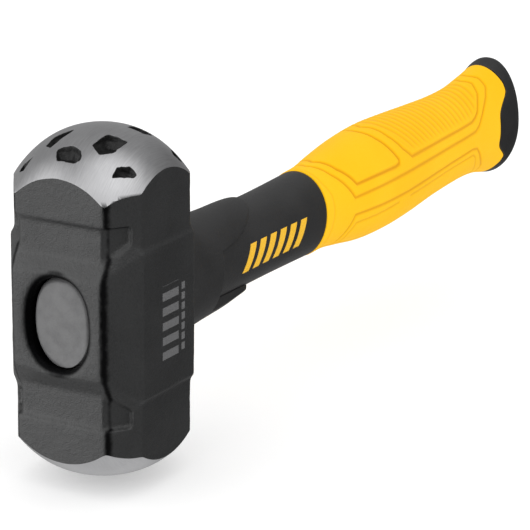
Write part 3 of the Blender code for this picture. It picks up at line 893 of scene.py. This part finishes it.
def grip_relief(along, degrees_down):
    """Depth of the pattern, in metres: grooves and ribs below the surface."""
    down = degrees_down * MM_PER_DEGREE
    depth = np.zeros(along.shape)
    for line, half_width, deep in ((THUMB_PAD, 0.75, 0.40), (LONG_LINE, 0.70, 0.34), (PALM_PAD, 0.70, 0.36),
                                   (FINGER_PAD, 0.70, 0.34), (FINGER_FRONT, 0.60, 0.22),
                                   (FINGER_BACK, 0.60, 0.22), (FRONT_RING, 0.60, 0.12)):
        near = distance_to(line, along, down) / half_width
        depth = np.maximum(depth, deep * np.clip(1.0 - near**2, 0.0, 1.0) ** 1.2)
    lean = 0.21 * (degrees_down / 66.0) ** 2 * np.clip((238.0 - along), 0.0, 70.0)
    stripe = (along - lean - RIB_FIRST) / RIB_PITCH
    wave = 0.5 - 0.5 * np.cos(2.0 * math.pi * stripe)
    inner = inside(PALM_PAD, along, down) * smooth(distance_to(PALM_PAD, along, down), 1.0, 3.4)
    depth = np.maximum(depth, 0.20 * wave**2 * inner)
    return depth * MM


# %% Yellow grip material
def grip_material():
    made, tree, shader = new_material("yellow_soft_grip", Specular_IOR_Level=0.08)
    grain = use_group(tree, grain_group, Size=0.6, Peel=0.8)
    spot, x, y, z = eye_coordinates(tree)
    cloud = place(tree, "ShaderNodeTexNoise", in_Scale=28.0, in_Detail=2.0)
    tree.links.new(spot, cloud.inputs["Vector"])
    clouded = ramp(tree, cloud.outputs[0], 0.3, 0.7)
    body = blend_colour(tree, clouded, (0.95, 0.515, 0.004), (0.98, 0.545, 0.008))
    fine = maths(tree, "MULTIPLY", grain.outputs["Mask"], 0.10)
    body = blend_colour(tree, fine, body, (0.88, 0.41, 0.004))
    # Painted shade: the grooves are coloured a darker orange the deeper they are.
    depth = place(tree, "ShaderNodeAttribute", attribute_name="groove")
    groove_shade = maths(tree, "MULTIPLY", depth.outputs["Fac"], 0.75)
    body = blend_colour(tree, groove_shade, body, (0.66, 0.24, 0.002))
    tree.links.new(body, shader.inputs["Base Color"])
    tree.links.new(ramp(tree, grain.outputs["Mask"], 0.0, 1.0, 0.50, 0.60), shader.inputs["Roughness"])
    bump(tree, shader, grain.outputs["Height"], 0.00004)
    return made


# %% Build the grip
SEAM_SIDE = 0.2475
SEAM_TOP = 0.2524
SEAM_LOBE = 0.0024
SEAM_EASE = (0.25, 0.90)
GRIP_ROWS = 330
EDGE_ROUND = 0.0005


def grip_end():
    """The grip's rear edge is scalloped: cut back on the sides, with lobes above and below."""
    turn = np.cos(2.0 * ANGLES)
    lobe = SEAM_TOP + SEAM_LOBE * np.minimum(1.0 + turn, 1.0)
    return lobe + (SEAM_SIDE - lobe) * smooth(turn, *SEAM_EASE) - GAP


def grip_rings():
    places = between(GRIP_START + GAP, grip_end(), GRIP_ROWS)
    down = np.degrees(np.abs((ANGLES - 0.5 * math.pi + math.pi) % (2.0 * math.pi) - math.pi))
    relief = grip_relief(places / MM, np.ones_like(places) * down)
    first = np.clip((places - places[0]) / EDGE_ROUND, 0.0, 1.0)
    last = np.clip((places[-1] - places) / EDGE_ROUND, 0.0, 1.0)
    curl = EDGE_ROUND * (2.0 - np.sqrt(1.0 - (1.0 - first) ** 2) - np.sqrt(1.0 - (1.0 - last) ** 2))
    outside = rings_on(GRIP, places, -relief - 0.8 * curl)
    bore = rings_on(TENON, places[::-15], GAP)
    return np.concatenate([outside, bore]), relief


rings, relief = grip_rings()
grip_mesh = skin("soft_grip", rings, joined=True)
groove = grip_mesh.attributes.new("groove", "FLOAT", "POINT")
amount = np.zeros(len(grip_mesh.vertices), np.float32)
amount[:relief.size] = (relief / relief.max()).ravel()
groove.data.foreach_set("value", amount)
grip = link("soft_grip", grip_mesh, grip_material())
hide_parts("grip")


# %% [markdown]
# ## Butt
# The flared butt keeps the hand from sliding off. It is one more skin: a socket over
# the end of the shell, the scalloped seam against the grip, the flare, and a domed
# end that closes in a few tight rings.

# %% Build the butt
CAP_RIM = 0.2572


def cap_rings():
    mouth = grip_end() + GAP
    places = between(mouth, CAP_RIM, 40)
    opened = np.clip((places - places[0]) / EDGE_ROUND, 0.0, 1.0)
    curl = EDGE_ROUND * (1.0 - np.sqrt(1.0 - (1.0 - opened) ** 2))
    flare = rings_on(GRIP, places, -0.8 * curl)
    table = GRIP[-2:] + CAP_TAIL
    tail = rings_on(table, between(CAP_RIM, CAP_END, 40)[1:])
    socket = rings_on(TENON, np.stack([np.full(ROUND, JACKET_END + GAP), mouth]), GAP)
    last = tail[-1]
    middle = last.mean(axis=0)
    closing = [middle + (last - middle) * (1.0 - t) for t in (0.12, 0.3, 0.5, 0.7, 0.85, 0.97)]
    return np.concatenate([socket, flare, tail, np.array(closing)])


cap = link("flared_butt", skin("flared_butt", cap_rings()),
           black_material("black_butt_rubber", 0.008, 0.015, 0.48, 0.45, 0.8, 0.00005))
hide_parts("butt_cap")


# %% [markdown]
# ## Core
# The fibreglass core is hidden inside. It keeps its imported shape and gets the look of
# drawn glass rod: long straw-coloured fibres.

# %% Core material
def core_material():
    made, tree, shader = new_material("glass_rod", Roughness=0.45)
    spot, x, y, z = eye_coordinates(tree)
    stretch = place(tree, "ShaderNodeMapping")
    stretch.inputs["Scale"].default_value = (40.0, 2600.0, 2600.0)
    tree.links.new(spot, stretch.inputs["Vector"])
    fibres = place(tree, "ShaderNodeTexNoise", in_Scale=1.0, in_Detail=3.0)
    tree.links.new(stretch.outputs[0], fibres.inputs["Vector"])
    tree.links.new(blend_colour(tree, ramp(tree, fibres.outputs[0], 0.3, 0.7), (0.48, 0.42, 0.27),
                                (0.68, 0.64, 0.48)), shader.inputs["Base Color"])
    bump(tree, shader, fibres.outputs[0], 0.00005)
    return made


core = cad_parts["handle_core"]
core.data.materials.clear()
core.data.materials.append(core_material())


# %% [markdown]
# ## Studio
# There are no lamps. The tool stands in a white tent, which is made in the sky itself.
# Lamps would be quicker to place, but black paint shows mostly what it mirrors, and a
# lamp strong enough for the black would burn out the yellow. So the sky asks which
# kind of ray has reached it. The camera sees plain white, dull surfaces get an even
# light that is a little stronger from above, and glossy ones see soft round patches
# on a grey ground. The floor glows faintly, to keep it pale, and is not seen in gloss.

# %% Floor and sky
FLOOR_DROP = 0.0008
bpy.context.scene.view_settings.view_transform = "Standard"


def studio_floor():
    bm = bmesh.new()
    bmesh.ops.create_grid(bm, x_segments=8, y_segments=8, size=6.0)
    mesh = bpy.data.meshes.new("floor")
    bm.to_mesh(mesh)
    bm.free()
    floor = bpy.data.objects.new("floor", mesh)
    floor.location = (0.0, 0.0, -FLOOR_DROP)
    bpy.context.scene.collection.objects.link(floor)
    made, tree, shader = new_material("white_sweep", Roughness=0.9, Specular_IOR_Level=0.1)
    shader.inputs["Base Color"].default_value = (0.72, 0.72, 0.72, 1.0)
    shader.inputs["Emission Color"].default_value = (1.0, 1.0, 1.0, 1.0)
    shader.inputs["Emission Strength"].default_value = 0.34
    mesh.materials.append(made)
    floor.visible_glossy = False


def lobe(tree, direction, inner, outer, amount):
    """A soft round patch of light in the sky: full within one angle, gone at another."""
    dot = place(tree, "ShaderNodeVectorMath", operation="DOT_PRODUCT")
    tree.links.new(tree.nodes["Texture Coordinate"].outputs["Generated"], dot.inputs[0])
    dot.inputs[1].default_value = Vector(direction).normalized()
    return ramp(tree, dot.outputs["Value"], math.cos(math.radians(outer)), math.cos(math.radians(inner)),
                0.0, amount)


REFLECTED_BASE = 0.34
REFLECTED = [((-0.75, 0.62, 0.12), 15, 60, 1.35), ((-0.27, -0.38, 0.88), 12, 46, 1.0),
             ((0.30, 0.20, -0.95), 15, 45, 0.45), ((-0.81, -0.48, 0.0), 24, 44, -0.45),
             ((0.83, -0.48, -0.20), 20, 60, -0.22)]


def studio_sky():
    """White to the camera, even light on dull surfaces, and soft patches in the gloss."""
    world = bpy.data.worlds.new("studio")
    bpy.context.scene.world = world
    world.use_nodes = True
    tree = world.node_tree
    where = place(tree, "ShaderNodeTexCoord")
    split = place(tree, "ShaderNodeSeparateXYZ")
    tree.links.new(where.outputs["Generated"], split.inputs[0])
    even = ramp(tree, split.outputs[2], -1.0, 1.0, 0.95, 1.22)
    mirrored = lobe(tree, *REFLECTED[0])
    for patch in REFLECTED[1:]:
        mirrored = maths(tree, "ADD", mirrored, lobe(tree, *patch))
    mirrored = maths(tree, "MAXIMUM", maths(tree, "ADD", mirrored, REFLECTED_BASE), 0.0)
    ray = place(tree, "ShaderNodeLightPath")
    strength = even
    for test, value in ((ray.outputs["Is Glossy Ray"], mirrored), (ray.outputs["Is Camera Ray"], 1.0)):
        chosen = place(tree, "ShaderNodeMix", data_type="FLOAT")
        tree.links.new(test, chosen.inputs[0])
        tree.links.new(strength, chosen.inputs[2])
        if isinstance(value, bpy.types.NodeSocket):
            tree.links.new(value, chosen.inputs[3])
        else:
            chosen.inputs[3].default_value = value
        strength = chosen.outputs[0]
    tree.links.new(strength, tree.nodes["Background"].inputs["Strength"])
    tree.nodes["Background"].inputs["Color"].default_value = (1.0, 1.0, 1.0, 1.0)


studio_floor()
studio_sky()


# %% [markdown]
# ## Camera
# The tool is seen from the front and a little to the right of the head, from above
# the handle's level, with a long lens as for a catalogue.

# %% Camera
CAMERA_PLACE = (-0.77652, -0.43119, 0.30365)
CAMERA_TURN = (72.9795, -0.4678, -60.0295)
LENS = 190.189
view = bpy.data.cameras.new("catalogue_view")
view.lens = LENS
view.sensor_width = 36.0
camera = bpy.data.objects.new("catalogue_view", view)
camera.location = CAMERA_PLACE
camera.rotation_euler = Euler([math.radians(a) for a in CAMERA_TURN])
bpy.context.scene.collection.objects.link(camera)
bpy.context.scene.camera = camera
